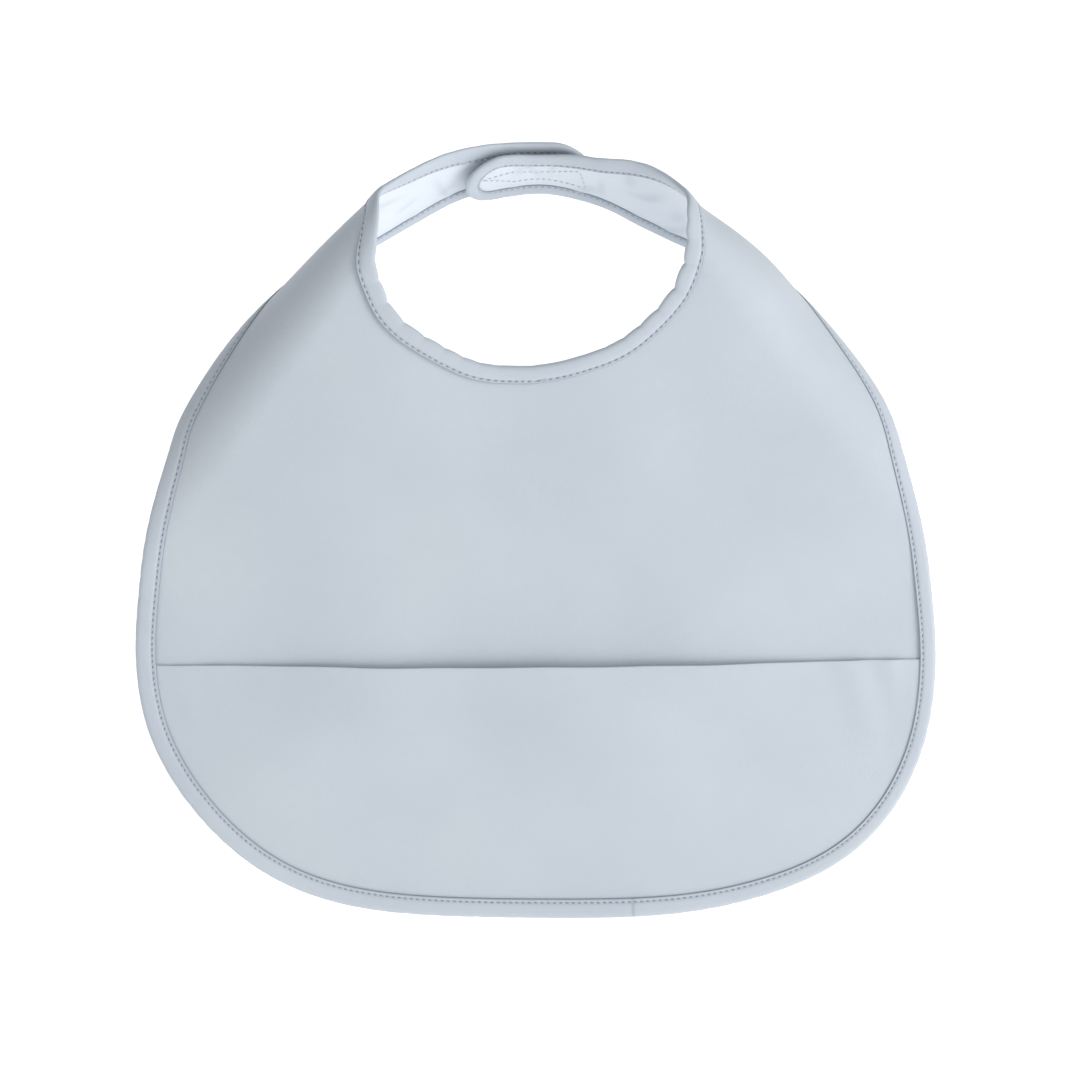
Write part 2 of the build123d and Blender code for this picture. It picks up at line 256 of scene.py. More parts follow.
def tip_shape(side, tip_past_centre, inset):
    """Where a strap's half-round tip begins and ends, drawn in by an inset."""
    where = side * (CENTRE_BACK + tip_past_centre - TIP_ROUND)
    near, far = neck_edge(where) + inset, outer_edge(where) - inset
    end = CENTRE_BACK + tip_past_centre - degrees(2 * inset / (near + far))
    return end - degrees((far - near) / (near + far)), end


def half_outline(side, tip_past_centre):
    """The edge of one half: up the neck, round the strap's tip, and down the outer side."""
    start, end = tip_shape(side, tip_past_centre, 0)
    turn = np.linspace(0, pi, 40)
    round_angles = side * (start + (end - start) * np.sin(turn))
    near, far = neck_edge(round_angles), outer_edge(round_angles)
    round_radii = (near + far) / 2 - (far - near) / 2 * np.cos(turn)
    along = np.linspace(0, start, 320, endpoint=False)
    return np.concatenate([to_flat(side * along, neck_edge(side * along)),
                           to_flat(round_angles, round_radii),
                           to_flat(side * along[::-1], outer_edge(side * along[::-1]))])


def evenly(points, spacing):
    """The same line with its points a constant distance apart."""
    lengths = np.concatenate([[0], np.cumsum(np.linalg.norm(np.diff(points, axis=0), axis=1))])
    count = int(round(lengths[-1] / spacing))
    places = np.linspace(0, lengths[-1], count + 1)
    return np.stack([np.interp(places, lengths, points[:, k]) for k in (0, 1)], 1)


# ---- mesh helpers -----------------------------------------------------------------------------
SHARP = radians(55)


def make_mesh(name, vertices, faces):
    mesh = bpy.data.meshes.new(name)
    mesh.from_pydata([tuple(v) for v in vertices], [], [tuple(f) for f in faces])
    mesh.validate()
    mesh.polygons.foreach_set("use_smooth", np.ones(len(mesh.polygons), bool))
    mesh.set_sharp_from_angle(angle=SHARP)
    mesh.update()
    piece = bpy.data.objects.new(name, mesh)
    bpy.context.scene.collection.objects.link(piece)
    return piece


def grid_faces(rows, columns, offset=0, flip=False):
    i, j = np.meshgrid(np.arange(rows - 1), np.arange(columns - 1), indexing="ij")
    a = (offset + i * columns + j).ravel()
    quads = np.stack([a, a + 1, a + columns + 1, a + columns], 1)
    return quads[:, ::-1] if flip else quads


def thin_sheet(name, front, back):
    """A closed sheet from two grids of points that face each other."""
    rows, columns = front.shape[:2]
    count = rows * columns
    index = np.arange(count).reshape(rows, columns)
    rim = np.concatenate([index[0, :-1], index[:-1, -1], index[-1, :0:-1], index[:0:-1, 0]])
    follow = np.roll(rim, -1)
    edge = np.stack([rim, rim + count, follow + count, follow], 1)
    faces = np.concatenate([grid_faces(rows, columns), grid_faces(rows, columns, count, True), edge])
    return make_mesh(name, np.concatenate([front.reshape(-1, 3), back.reshape(-1, 3)]), faces)


def ring_faces(count, size, offset=0):
    """Faces of a tube through rings of points, with its ends closed."""
    index = offset + np.arange(count * size).reshape(count, size)
    following = np.roll(index, -1, axis=1)
    sides = np.stack([index[:-1], index[1:], following[1:], following[:-1]], -1).reshape(-1, 4)
    return [tuple(f) for f in sides] + [tuple(index[0]), tuple(index[-1][::-1])]


def loft_rings(name, rings):
    count, size = rings.shape[:2]
    return make_mesh(name, rings.reshape(-1, 3), ring_faces(count, size))


def mark(piece, name, values):
    """Stores one number for each point of a mesh, which its material can read."""
    attribute = piece.data.attributes.new(name, "FLOAT", "POINT")
    attribute.data.foreach_set("value", np.asarray(values, np.float32).ravel())


# ---- the cloth's panels -----------------------------------------------------------------------
ANGLE_STEP = 0.45
PANEL_INSET = 1.6             # the cloth stops short of the binding's nose


def panel_columns(first, last):
    count = int(abs(last - first) / ANGLE_STEP) + 1
    return np.linspace(first, last, count)


def panel_grid(angles, rows, tip=None):
    """Pattern angles and radii of a grid between the neck edge and the outer edge."""
    near, far = neck_edge(angles) + PANEL_INSET, outer_edge(angles) - PANEL_INSET
    if tip is not None:
        middle, half = (near + far) / 2, (far - near) / 2
        start, end = tip_shape(np.sign(angles[-1]), tip, PANEL_INSET)
        part = np.clip((np.abs(angles) - start) / (end - start), 0, 1)
        half = half * np.sqrt(np.maximum(1 - part ** 2, 0.01))
        near, far = middle - half, middle + half
    share = np.linspace(0, 1, rows)
    radii = near[:, None] + (far - near)[:, None] * share[None, :]
    return np.repeat(angles[:, None], rows, 1), radii


def face_piece(name, angles, rows, tip=None):
    grid_angles, radii = panel_grid(angles, rows, tip)
    return thin_sheet(name, bent(grid_angles, radii, LAYER), bent(grid_angles, radii, PLY))


def ridges(angles, radii):
    """Faint creases in the lining, from 0 to 1, mostly along the cloth and slanting a little."""
    a, r = np.radians(angles), radii
    first = np.sin(r / 3.1 + 9 * a + 1.5 * np.sin(a * 14)) * np.sin(a * 11 + 0.7)
    second = np.sin(r / 4.7 - 23 * a + 1.1 * np.sin(a * 9 + 2)) * np.sin(a * 17 + r / 15)
    return np.clip(first, 0, 1) ** 3 + 0.8 * np.clip(second, 0, 1) ** 4


def lining_piece(name, angles, rows, tip=None):
    grid_angles, radii = panel_grid(angles, rows, tip)
    creases = ridges(grid_angles, radii)
    back = -LAYER - 0.28 * creases
    piece = thin_sheet(name, bent(grid_angles, radii, -PLY), bent(grid_angles, radii, back))
    # Painted shade on the lining's ridges, on its exposed side.
    mark(piece, "painted_shade", np.concatenate([0 * creases.ravel(), 0.35 * creases.ravel()]))
    return piece


# ---- materials -------------------------------------------------------------------------------
def new_material(name, colour, roughness):
    material = bpy.data.materials.new(name)
    material.use_nodes = True
    nodes, links = material.node_tree.nodes, material.node_tree.links
    shader = nodes["Principled BSDF"]
    shader.inputs["Base Color"].default_value = (*colour, 1)
    shader.inputs["Roughness"].default_value = roughness
    return material, nodes, links, shader


def srgb(red, green, blue):
    """A colour written as 0 to 255, as the shader wants it."""
    return tuple(((c / 255 + 0.055) / 1.055) ** 2.4 for c in (red, green, blue))


def add_noise(nodes, links, scale, detail, roughness=0.5):
    place = nodes.new("ShaderNodeTexCoord")
    noise = nodes.new("ShaderNodeTexNoise")
    noise.inputs["Scale"].default_value = scale
    noise.inputs["Detail"].default_value = detail
    noise.inputs["Roughness"].default_value = roughness
    links.new(place.outputs["Object"], noise.inputs["Vector"])
    return noise


def add_tint(nodes, links, shader, noise, dark, light):
    ramp = nodes.new("ShaderNodeValToRGB")
    ramp.color_ramp.elements[0].position = 0.3
    ramp.color_ramp.elements[1].position = 0.7
    ramp.color_ramp.elements[0].color = (*dark, 1)
    ramp.color_ramp.elements[1].color = (*light, 1)
    links.new(noise.outputs["Fac"], ramp.inputs["Fac"])
    links.new(ramp.outputs["Color"], shader.inputs["Base Color"])


def add_bump(nodes, links, shader, sources, distance):
    """Several heights, each with its own strength, one bump after another."""
    last = None
    for source, strength in sources:
        bump = nodes.new("ShaderNodeBump")
        bump.inputs["Strength"].default_value = strength
        bump.inputs["Distance"].default_value = distance
        links.new(source, bump.inputs["Height"])
        if last is not None:
            links.new(last.outputs["Normal"], bump.inputs["Normal"])
        last = bump
    links.new(last.outputs["Normal"], shader.inputs["Normal"])


def coated_cloth(name, dark, light, roughness, grain):
    """Cloth under a thin matt coating: a fine grain, and a colour that drifts slightly."""
    material, nodes, links, shader = new_material(name, light, roughness)
    add_tint(nodes, links, shader, add_noise(nodes, links, 14, 3), dark, light)
    pores = add_noise(nodes, links, 3200, 2)
    weave = add_noise(nodes, links, 900, 3)
    slack = add_noise(nodes, links, 35, 2)
    heights = [(slack.outputs["Fac"], 0.10 * grain), (weave.outputs["Fac"], 0.18 * grain),
               (pores.outputs["Fac"], 0.22 * grain)]
    add_bump(nodes, links, shader, heights, 0.0004)
    shader.inputs["Sheen Weight"].default_value = 0.12
    shader.inputs["Sheen Roughness"].default_value = 0.5
    return material


def add_shade(nodes, links, shader, shadow):
    """Paints shade into the colour where the mesh is marked as lying in a crease, a groove or a needle hole.
    """
    colour = shader.inputs["Base Color"].links[0].from_socket
    marked = nodes.new("ShaderNodeAttribute")
    marked.attribute_name = "painted_shade"
    mix = nodes.new("ShaderNodeMix")
    mix.data_type = "RGBA"
    colours = [socket for socket in mix.inputs if socket.type == "RGBA"]
    mixed = [socket for socket in mix.outputs if socket.type == "RGBA"][0]
    colours[1].default_value = (*shadow, 1)
    links.new(colour, colours[0])
    links.new(marked.outputs["Fac"], mix.inputs["Factor"])
    links.new(mixed, shader.inputs["Base Color"])


def sewing_material(name, dark, light):
    """Twisted thread: fine slanting plies and a slight drift of colour."""
    material, nodes, links, shader = new_material(name, light, 0.55)
    add_tint(nodes, links, shader, add_noise(nodes, links, 420, 2), dark, light)
    plies = nodes.new("ShaderNodeTexWave")
    plies.bands_direction = "DIAGONAL"
    plies.inputs["Scale"].default_value = 1400
    plies.inputs["Distortion"].default_value = 1.5
    place = nodes.new("ShaderNodeTexCoord")
    links.new(place.outputs["Object"], plies.inputs["Vector"])
    add_bump(nodes, links, shader, [(plies.outputs["Fac"], 0.5)], 0.0001)
    return material


def tape_material(name, dark, light, roughness):
    """Woven nylon tape: a fine grain and a slight drift of colour."""
    material, nodes, links, shader = new_material(name, light, roughness)
    add_tint(nodes, links, shader, add_noise(nodes, links, 260, 3), dark, light)
    grain = add_noise(nodes, links, 2600, 2)
    add_bump(nodes, links, shader, [(grain.outputs["Fac"], 0.4)], 0.0002)
    return material


# The colours of painted shade, mixed into each cloth where its mesh is marked.
BLUE_GREY_PAINTED_SHADE = srgb(120, 131, 146)
WHITE_PAINTED_SHADE = srgb(176, 186, 198)
face_cloth = coated_cloth("face_cloth", srgb(189, 198, 207), srgb(196, 204, 212), 0.62, 1.0)
binding_cloth = coated_cloth("binding_cloth", srgb(187, 196, 206), srgb(195, 203, 212), 0.6, 1.1)
lining_cloth = coated_cloth("lining_cloth", srgb(216, 224, 232), srgb(225, 232, 239), 0.42, 0.8)
for cloth, shadow in ((face_cloth, BLUE_GREY_PAINTED_SHADE), (binding_cloth, BLUE_GREY_PAINTED_SHADE),
                      (lining_cloth, WHITE_PAINTED_SHADE)):
    tree = cloth.node_tree
    add_shade(tree.nodes, tree.links, tree.nodes["Principled BSDF"], shadow)
sewing_thread = sewing_material("sewing_thread", srgb(190, 199, 208), srgb(202, 210, 218))
loop_tape = tape_material("loop_tape", srgb(205, 212, 220), srgb(220, 225, 231), 0.9)
hook_tape = tape_material("hook_tape", srgb(208, 214, 222), srgb(222, 227, 233), 0.45)


def paint(piece, material):
    piece.data.materials.clear()
    piece.data.materials.append(material)


def finish_with(material, slot, *pieces):
    """Paints the pieces. The slot, the name of what their material stands for, is not used."""
    for piece in pieces:
        paint(piece, material)


# ---- panels, linings and straps ----------------------------------------------------------------
BODY_ROWS = 120
STRAP_ROWS = 60


def strap_columns(side, tip_past_centre):
    start, end = tip_shape(side, tip_past_centre, PANEL_INSET)
    straight = panel_columns(BODY_LIMIT, start)
    rounded = start + (end - start) * np.sin(np.linspace(0, pi / 2, 16))[1:]
    return side * np.concatenate([straight, rounded])


body_columns = panel_columns(-BODY_LIMIT, BODY_LIMIT)
left_columns = strap_columns(-1, LEFT_TIP_PAST_CENTRE)
right_columns = strap_columns(1, RIGHT_TIP_PAST_CENTRE)
front_panel = face_piece("front_panel_cloth", body_columns, BODY_ROWS)
panel_lining = lining_piece("panel_lining_cloth", body_columns, BODY_ROWS)
left_face = face_piece("left_strap_cloth", left_columns, STRAP_ROWS, LEFT_TIP_PAST_CENTRE)
left_lining = lining_piece("left_strap_lining_cloth", left_columns, STRAP_ROWS, LEFT_TIP_PAST_CENTRE)
right_face = face_piece("right_strap_cloth", right_columns, STRAP_ROWS, RIGHT_TIP_PAST_CENTRE)
right_lining = lining_piece("right_strap_lining_cloth", right_columns, STRAP_ROWS, RIGHT_TIP_PAST_CENTRE)

finish_with(face_cloth, "face_cloth", front_panel, left_face, right_face)
finish_with(lining_cloth, "lining_cloth", panel_lining, left_lining, right_lining)


# ---- the pocket ----------------------------------------------------------------------------------
POCKET_INSET = PANEL_INSET + 0.4
POCKET_LOWEST = POCKET_INSET + 0.6
POCKET_INNER = LAYER + 0.1    # the pocket's two layers, from the middle of the panel's sheet
POCKET_OUTER = LAYER + 0.75


def pocket_reach(side, levels):
    """How far from the centre line the pocket reaches at each height above the hem."""
    angles = side * np.linspace(0, 45, 900)
    rim = to_flat(angles, outer_edge(angles) - POCKET_INSET)
    return np.interp(levels, np.maximum.accumulate(APEX_ABOVE_HEM + rim[:, 1]), np.abs(rim[:, 0]))


def pocket_stand_off(share, above_hem):
    """How far the pocket's cloth stands off the front panel."""
    rise = step(POCKET_FLAT_HEM, MOUTH_ABOVE_HEM + 30, above_hem)
    full = step(POCKET_FLAT_HEM, MOUTH_ABOVE_HEM + 30, MOUTH_ABOVE_HEM)
    return POCKET_GAPE * rise / full * (1 - share ** 2) ** 2


def mouth_level(share):
    """The mouth's height above the hem: nearly straight, and higher at the right than at the left."""
    return (MOUTH_ABOVE_HEM - 0.9 + 1.25 * share + 1.55 * share ** 2
            + 0.12 * np.sin(share * 9 + 0.6) + 0.10 * np.sin(share * 23 + 1.0))


def pocket_piece():
    """One cloth folded over at the mouth: up the outside, over the fold and down the inside.

    It puckers a little below the mouth near its ends, more at the right than at the left.
    """
    columns, fold_rows, flat_rows = 320, 9, 90
    share = np.linspace(-1, 1, columns)
    top = mouth_level(share)
    middle, radius = (POCKET_INNER + POCKET_OUTER) / 2, (POCKET_OUTER - POCKET_INNER) / 2
    rise = np.linspace(0, 1, flat_rows)
    levels, heights = [], []
    for value in rise:
        levels.append(POCKET_LOWEST + (top - radius - POCKET_LOWEST) * value)
        heights.append(POCKET_OUTER)
    for turn in np.linspace(0, pi, fold_rows)[1:-1]:
        levels.append(top - radius + radius * sin(turn))
        heights.append(middle + radius * cos(turn))
    for value in rise[::-1]:
        levels.append(POCKET_LOWEST + (top - radius - POCKET_LOWEST) * value)
        heights.append(POCKET_INNER)
    levels = np.array(levels)
    heights = np.array(heights)[:, None] * np.ones(columns)
    reach = np.where(share < 0, pocket_reach(-1, levels), pocket_reach(1, levels))
    x = reach * share
    near_mouth = step(MOUTH_ABOVE_HEM - 45, MOUTH_ABOVE_HEM - 4, levels)
    ends = (hump(share, 0.86, 0.10) + 0.5 * hump(share, -0.86, 0.08)) * (1 - step(0.88, 0.94, np.abs(share)))
    puckers = 0.5 * (1 + np.sin(x / 3.4 + levels / 9.0)) * near_mouth * ends
    angles = np.degrees(np.arctan2(x, APEX_ABOVE_HEM - levels))
    radii = np.hypot(x, APEX_ABOVE_HEM - levels)
    points = bent(angles, radii, heights + puckers + pocket_stand_off(share, levels))
    return make_mesh("pocket_cloth", points.reshape(-1, 3), grid_faces(len(levels), columns, flip=True))


pocket = pocket_piece()
finish_with(face_cloth, "face_cloth", pocket)


# ---- the binding, one strip round the whole edge ---------------------------------------------------
SAMPLES_PER_STITCH = 4
OUTLINE_SPACING = STITCH_PITCH / SAMPLES_PER_STITCH


RIGHT_TAKE_IN = 0.22          # how much narrower the outer binding is on the right
STRAP_TO_NECK = 1.12          # the neck binding's seam depth against a strap's
STRAP_TO_EDGE = 1.255         # and the outer binding's
BROAD_LEFT, BROAD_RIGHT = 0.62, 0.38


def edge_widths(angles):
    """The outer binding takes in less cloth on the right, as a share of its plain width."""
    return 1 - RIGHT_TAKE_IN * step(4, 28, angles)


def strap_widths(angles, radii):
    """A strap's binding, as a share of its plain width: it meets the body's bindings, and broadens."""
    turn = np.abs(angles)
    near_neck = radii < (neck_edge(angles) + outer_edge(angles)) / 2
    broad = np.where(angles < 0, BROAD_LEFT, BROAD_RIGHT)
    extra = STRAP_TO_NECK - 1
    top = STRAP_TO_NECK + (broad - extra) * step(BODY_LIMIT, 60, turn) - broad * step(82, 98, turn)
    past = step(BODY_LIMIT, 62, turn)
    return np.where(near_neck, top, STRAP_TO_EDGE * edge_widths(angles) * (1 - past) + past)


class Edge:
    """A stretch of the bib's outline, with its own direction and inward side at every point."""

    def __init__(self, points, left_hand, kind=None):
        self.points = evenly(points, OUTLINE_SPACING)
        along = np.gradient(self.points, axis=0)
        self.along = along / np.linalg.norm(along, axis=1)[:, None]
        way = 1 if left_hand else -1
        self.inward = way * np.stack([-self.along[:, 1], self.along[:, 0]], 1)
        self.place = np.arange(len(self.points)) * OUTLINE_SPACING
        self.angles, self.radii = to_polar(self.points)
        self.widen = np.ones(len(self.points))
        if kind == "edge":
            self.widen = edge_widths(self.angles)
        if kind == "strap":
            self.widen = strap_widths(self.angles, self.radii)

    def at(self, depths, heights):
        """Points at depths in from the edge and heights from the sheet, one row for each sample."""
        flat = self.points[:, None, :] + self.inward[:, None, :] * depths[..., None]
        angles, radii = to_polar(flat)
        return bent(angles, radii, heights)


right_half = half_outline(1, RIGHT_TIP_PAST_CENTRE)
left_half = half_outline(-1, LEFT_TIP_PAST_CENTRE)


def split_half(half):
    """Cuts a half outline at the limit angle into neck, strap and outer stretches."""
    angles = np.abs(to_polar(half)[0])
    beyond = np.nonzero(angles > BODY_LIMIT)[0]
    first, last = beyond[0], beyond[-1]
    return half[:first + 1], half[first:last + 1], half[last:]


right_neck, right_strap, right_outer = split_half(right_half)
left_neck, left_strap, left_outer = split_half(left_half)
neck_line = Edge(np.concatenate([left_neck[::-1], right_neck[1:]]), False)
outer_line = Edge(np.concatenate([left_outer, right_outer[::-1][1:]]), True, "edge")
right_line = Edge(right_strap, False, "strap")
left_line = Edge(left_strap, True, "strap")


def binding_side(width, seam):
    """Depth, height and painted shade on one side of a binding, from its inner edge to its nose."""
    lip = width - seam
    # The painted shade darkens the inner edge, where the binding meets the cloth, and the seam's groove.
    return [(width + 0.05, 0.44, 0.95), (width, 0.66, 0.95), (width - 0.22 * lip, 0.88, 0.25),
            (width - 0.60 * lip, 0.92, 0.0), (seam + 0.14, 0.84, 0.0), (seam, 0.70, 0.06),
            (seam - 0.20, 0.84, 0.0), (seam - 0.5, 0.98, 0.0), (seam - 1.2, 1.12, 0.0),
            (seam - 2.2, 1.19, 0.0), (2.2, 1.20, 0.0), (1.4, 1.14, 0.0), (0.8, 0.98, 0.0),
            (0.35, 0.72, 0.0), (0.08, 0.38, 0.0)]


def in_front(angles):
    """How much further out the binding's face lies where it also covers the pocket."""
    return POCKET_STACK * (1 - step(WIDEST_ANGLE + 1, WIDEST_ANGLE + 6, np.abs(angles)))


PUCKER_PITCH = 8.3
PUCKER_DEPTH = 1.5
NEEDLE_HOLE = (1.0, 0.45, 0.0, 0.45)     # how deep each sample of a stitch is drawn in
LAP_AT = 37.6                 # right of centre, where the edge binding's ends overlap at the hem


def scallops(place, seed):
    """Uneven puckers along a gathered edge, from 0 in the pinches to 1 on the swells."""
    wander = 0.9 * np.sin(place / 21.0 + seed) + 0.5 * np.sin(place / 9.0 + 2 * seed)
    tall = 0.55 + 0.45 * np.sin(place / 17.0 + 3 * seed)
    return 1 - tall * (1 - np.abs(np.sin(pi * (place + 2.2 * wander) / PUCKER_PITCH)) ** 0.5)


def binding_piece(name, line, widths, gather, seed, lap=None):
    face_width, lining_width, seam = widths
    face_side, lining_side = binding_side(face_width, seam), binding_side(lining_width, seam)
    full = np.array(face_side + [(0.0, 0.0, 0.0)] + [(d, -h, s) for d, h, s in lining_side[::-1]])
    samples = np.ones((len(line.points), 1))
    depths, heights, painted_shade = full[:, 0] * samples, full[:, 1] * samples, full[:, 2] * samples
    amount = gather(line)[:, None]
    swell = scallops(line.place, seed)[:, None]
    depths = depths * line.widen[:, None]
    near_nose = 1 - step(0, seam * 0.9, depths)
    depths = depths + PUCKER_DEPTH * (0.45 - swell) * near_nose * amount
    heights = heights * (1 + 0.22 * (swell - 0.5) * amount * (1 - step(seam - 1.5, seam, depths)))
    # Painted shade in the pinches between the puckers.
    painted_shade = painted_shade + 0.14 * (1 - swell) ** 3 * amount * (painted_shade == 0)
    # Each needle hole is drawn in and darkened with painted shade.
    hole = np.array(NEEDLE_HOLE)[np.arange(len(line.points)) % SAMPLES_PER_STITCH][:, None]
    in_seam = hump(full[:, 0], seam, 0.28)[None, :] * hole
    heights = heights - np.sign(heights) * in_seam * 0.22
    painted_shade = painted_shade + in_seam
    if lap is not None:
        # A line of painted shade where the binding's ends overlap, and the upper end stands a little higher.
        overlap = (line.points[:, 0] - lap)[:, None]
        painted_shade = painted_shade + 0.55 * hump(overlap, 0, 0.35)
        heights = heights * (1 + 0.15 * step(0, 0.6, overlap) * (1 - step(3, 9, overlap)))
    painted_shade = np.clip(painted_shade, 0, 1)
    heights = heights + np.where(heights > 0.3, in_front(line.angles)[:, None], 0.0)
    piece = loft_rings(name, line.at(depths, heights))
    mark(piece, "painted_shade", painted_shade)
    return piece


def neck_gather(line):
    """The front of the neck is gathered most at its sides."""
    turn = np.abs(line.angles)
    return 0.22 + 0.70 * hump(turn, 33, 8) + 0.25 * hump(turn, 17, 9)


def slight_gather(line):
    return np.full(len(line.points), 0.14)


def strap_gather(line):
    """The neck side of a strap carries the puckers on from the front."""
    near_neck = line.radii < (neck_edge(line.angles) + outer_edge(line.angles)) / 2
    return np.where(near_neck, 0.18, 0.10)


edge_binding = binding_piece("edge_binding_cloth", outer_line, EDGE_WIDTHS, slight_gather, 0.4, LAP_AT)
neck_binding = binding_piece("neck_binding_cloth", neck_line, NECK_WIDTHS, neck_gather, 1.3)
left_binding = binding_piece("left_strap_binding_cloth", left_line, STRAP_WIDTHS, strap_gather, 2.1)
right_binding = binding_piece("right_strap_binding_cloth", right_line, STRAP_WIDTHS, strap_gather, 0.2)
finish_with(binding_cloth, "binding_cloth", edge_binding, neck_binding, left_binding, right_binding)


# ---- stitches ------------------------------------------------------------------------------------
def stitch_row(name, line, depth, rise, ways=(1, -1)):
    """Short round threads that dive into the cloth at both ends, on the sides asked for."""
    sections, sides = 7, 6
    starts = np.arange(0, len(line.points) - SAMPLES_PER_STITCH + 1, SAMPLES_PER_STITCH)
    share = np.linspace(-0.5, 0.5, sections)
    arch = np.sqrt(np.maximum(1 - (2 * share) ** 2, 0))
    radius = STITCH_RADIUS * (0.35 + 0.65 * arch)
    ring = np.linspace(0, 2 * pi, sides, endpoint=False)
    across = radius[:, None] * np.cos(ring)[None, :]
    vertices, faces = [], []
    for way in ways:
        for start in starts:
            where = line.place[start] + STITCH_PITCH / 2 + share * STITCH_LENGTH
            centre = np.stack([np.interp(where, line.place, line.points[:, k]) for k in (0, 1)], 1)
            front = float(in_front(line.angles[start])) if way > 0 else 0.0
            lift = rise + front + 0.16 * arch - 0.12
            heights = way * (lift[:, None] + radius[:, None] * np.sin(ring)[None, :])
            depths = depth * line.widen[start] + across
            flat = centre[:, None, :] + line.inward[start][None, None, :] * depths[..., None]
            angles, radii = to_polar(flat)
            faces += ring_faces(sections, sides, sections * sides * len(vertices))
            vertices.append(bent(angles, radii, heights).reshape(-1, 3))
    return make_mesh(name, np.concatenate(vertices), faces)


SEAM_RISE = 0.80              # the binding's stitches lie this far from the middle of the sheet
edge_stitches = stitch_row("edge_stitches", outer_line, EDGE_WIDTHS[2], SEAM_RISE)
neck_stitches = stitch_row("neck_stitches", neck_line, NECK_WIDTHS[2], SEAM_RISE)
left_stitches = stitch_row("left_strap_stitches", left_line, STRAP_WIDTHS[2], SEAM_RISE)
right_stitches = stitch_row("right_strap_stitches", right_line, STRAP_WIDTHS[2], SEAM_RISE)
finish_with(sewing_thread, "sewing_thread", edge_stitches, neck_stitches, left_stitches, right_stitches)


# ---- the hook and the loop patch -----------------------------------------------------------------
PATCH_BEFORE_CENTRE = 15.0
PATCH_PAST_CENTRE = 7.0
PATCH_CLEAR = 8.1             # from a strap's edge to the patch beside its binding
PATCH_FOOT = LAYER + 0.05
TAPE = 0.55
PATCH_STITCH_INSET = 1.2
PATCH_STITCH_RISE = LAYER + 0.12
HOOK_POINT = 15.5             # the hook patch's stitches come to a point this far past the centre
BRISTLE_INSET = 1.0           # hooks and loops stop this far inside the tape's edge
STRAP_MIDDLE_RADIUS = 79.0    # distance from the apex to the middle of a strap


def patch_grid(side, inset, across, along):
    """Angles and radii of a grid over a patch, drawn in from its edges by an inset."""
    margin = degrees(inset / STRAP_MIDDLE_RADIUS)
    angles = side * np.linspace(CENTRE_BACK - PATCH_BEFORE_CENTRE + margin,
                                CENTRE_BACK + PATCH_PAST_CENTRE - margin, along)
    near, far = neck_edge(angles) + PATCH_CLEAR + inset, outer_edge(angles) - PATCH_CLEAR - inset
    share = np.linspace(0, 1, across)
    return np.repeat(angles[:, None], across, 1), near[:, None] + (far - near)[:, None] * share[None, :]


ASLANT = [0.31, 0.87, 0.38]   # a direction that no hook or loop lies along


def tube(centres, thickness, sides):
    """Rings of points round a short curved line, each with its own thickness."""
    way = unit(centres[-1] - centres[0])
    first = unit(np.cross(way, ASLANT))
    second = np.cross(way, first)
    turn = np.linspace(0, 2 * pi, sides, endpoint=False)
    ring = np.cos(turn)[:, None] * first + np.sin(turn)[:, None] * second
    return centres[:, None, :] + ring[None] * thickness[:, None, None]


def bristles(side, way, spacing, profile, thickness, jitter, seed):
    """Small curved strands in rows over a patch: hooks or loops, as their profile says."""
    random = np.random.default_rng(seed)
    angles, radii = patch_grid(side, BRISTLE_INSET, 2, 2)
    middle = radii.mean()
    length = radians(abs(angles[1, 0] - angles[0, 0])) * middle
    width = radii[0, 1] - radii[0, 0]
    grid_angles, grid_radii = patch_grid(side, BRISTLE_INSET, int(width / spacing), int(length / spacing))
    vertices, faces = [], []
    sections, sides = len(profile), 4
    for angle, radius in zip(grid_angles.ravel(), grid_radii.ravel()):
        turn = random.uniform(-jitter, jitter) * pi
        angle = angle + degrees(random.uniform(-0.3, 0.3) * jitter * spacing / middle)
        radius = radius + random.uniform(-0.3, 0.3) * jitter * spacing
        tall = 1 - 0.25 * jitter * random.uniform(0, 1)
        offset, height = profile[:, 0], profile[:, 1] * tall
        strand_angles = angle + np.degrees(offset * cos(turn) / middle)
        strand_radii = radius + offset * sin(turn)
        centres = bent(strand_angles, strand_radii, way * (PATCH_FOOT + TAPE - 0.1 + height))
        faces += ring_faces(sections, sides, sections * sides * len(vertices))
        vertices.append(tube(centres, thickness * MM, sides).reshape(-1, 3))
    return np.concatenate(vertices), faces


def patch_piece(name, side, way, spacing, profile, thickness, jitter, seed):
    """Woven tape with its hooks or loops standing on it, as one piece."""
    angles, radii = patch_grid(side, 0, 24, 40)
    front, back = bent(angles, radii, way * (PATCH_FOOT + TAPE)), bent(angles, radii, way * PATCH_FOOT)
    tape = thin_sheet(name, front, back)
    strands, strand_faces = bristles(side, way, spacing, profile, thickness, jitter, seed)
    own = np.array([tuple(v.co) for v in tape.data.vertices])
    faces = [tuple(polygon.vertices) for polygon in tape.data.polygons]
    faces += [tuple(i + len(own) for i in face) for face in strand_faces]
    bpy.data.objects.remove(tape)
    return make_mesh(name, np.concatenate([own, strands]), faces)


def patch_outline(side, point=None):
    """The line of stitches round a patch, on the pattern, with a point towards the strap's tip."""
    angles, radii = patch_grid(side, PATCH_STITCH_INSET, 2, 30)
    near, far = to_flat(angles[:, 0], radii[:, 0]), to_flat(angles[::-1, 1], radii[::-1, 1])
    tip = [] if point is None else [to_flat(side * np.array([CENTRE_BACK + point]), radii[-1:].mean(1) + 2)]
    return np.concatenate([near] + tip + [far, near[:1]])


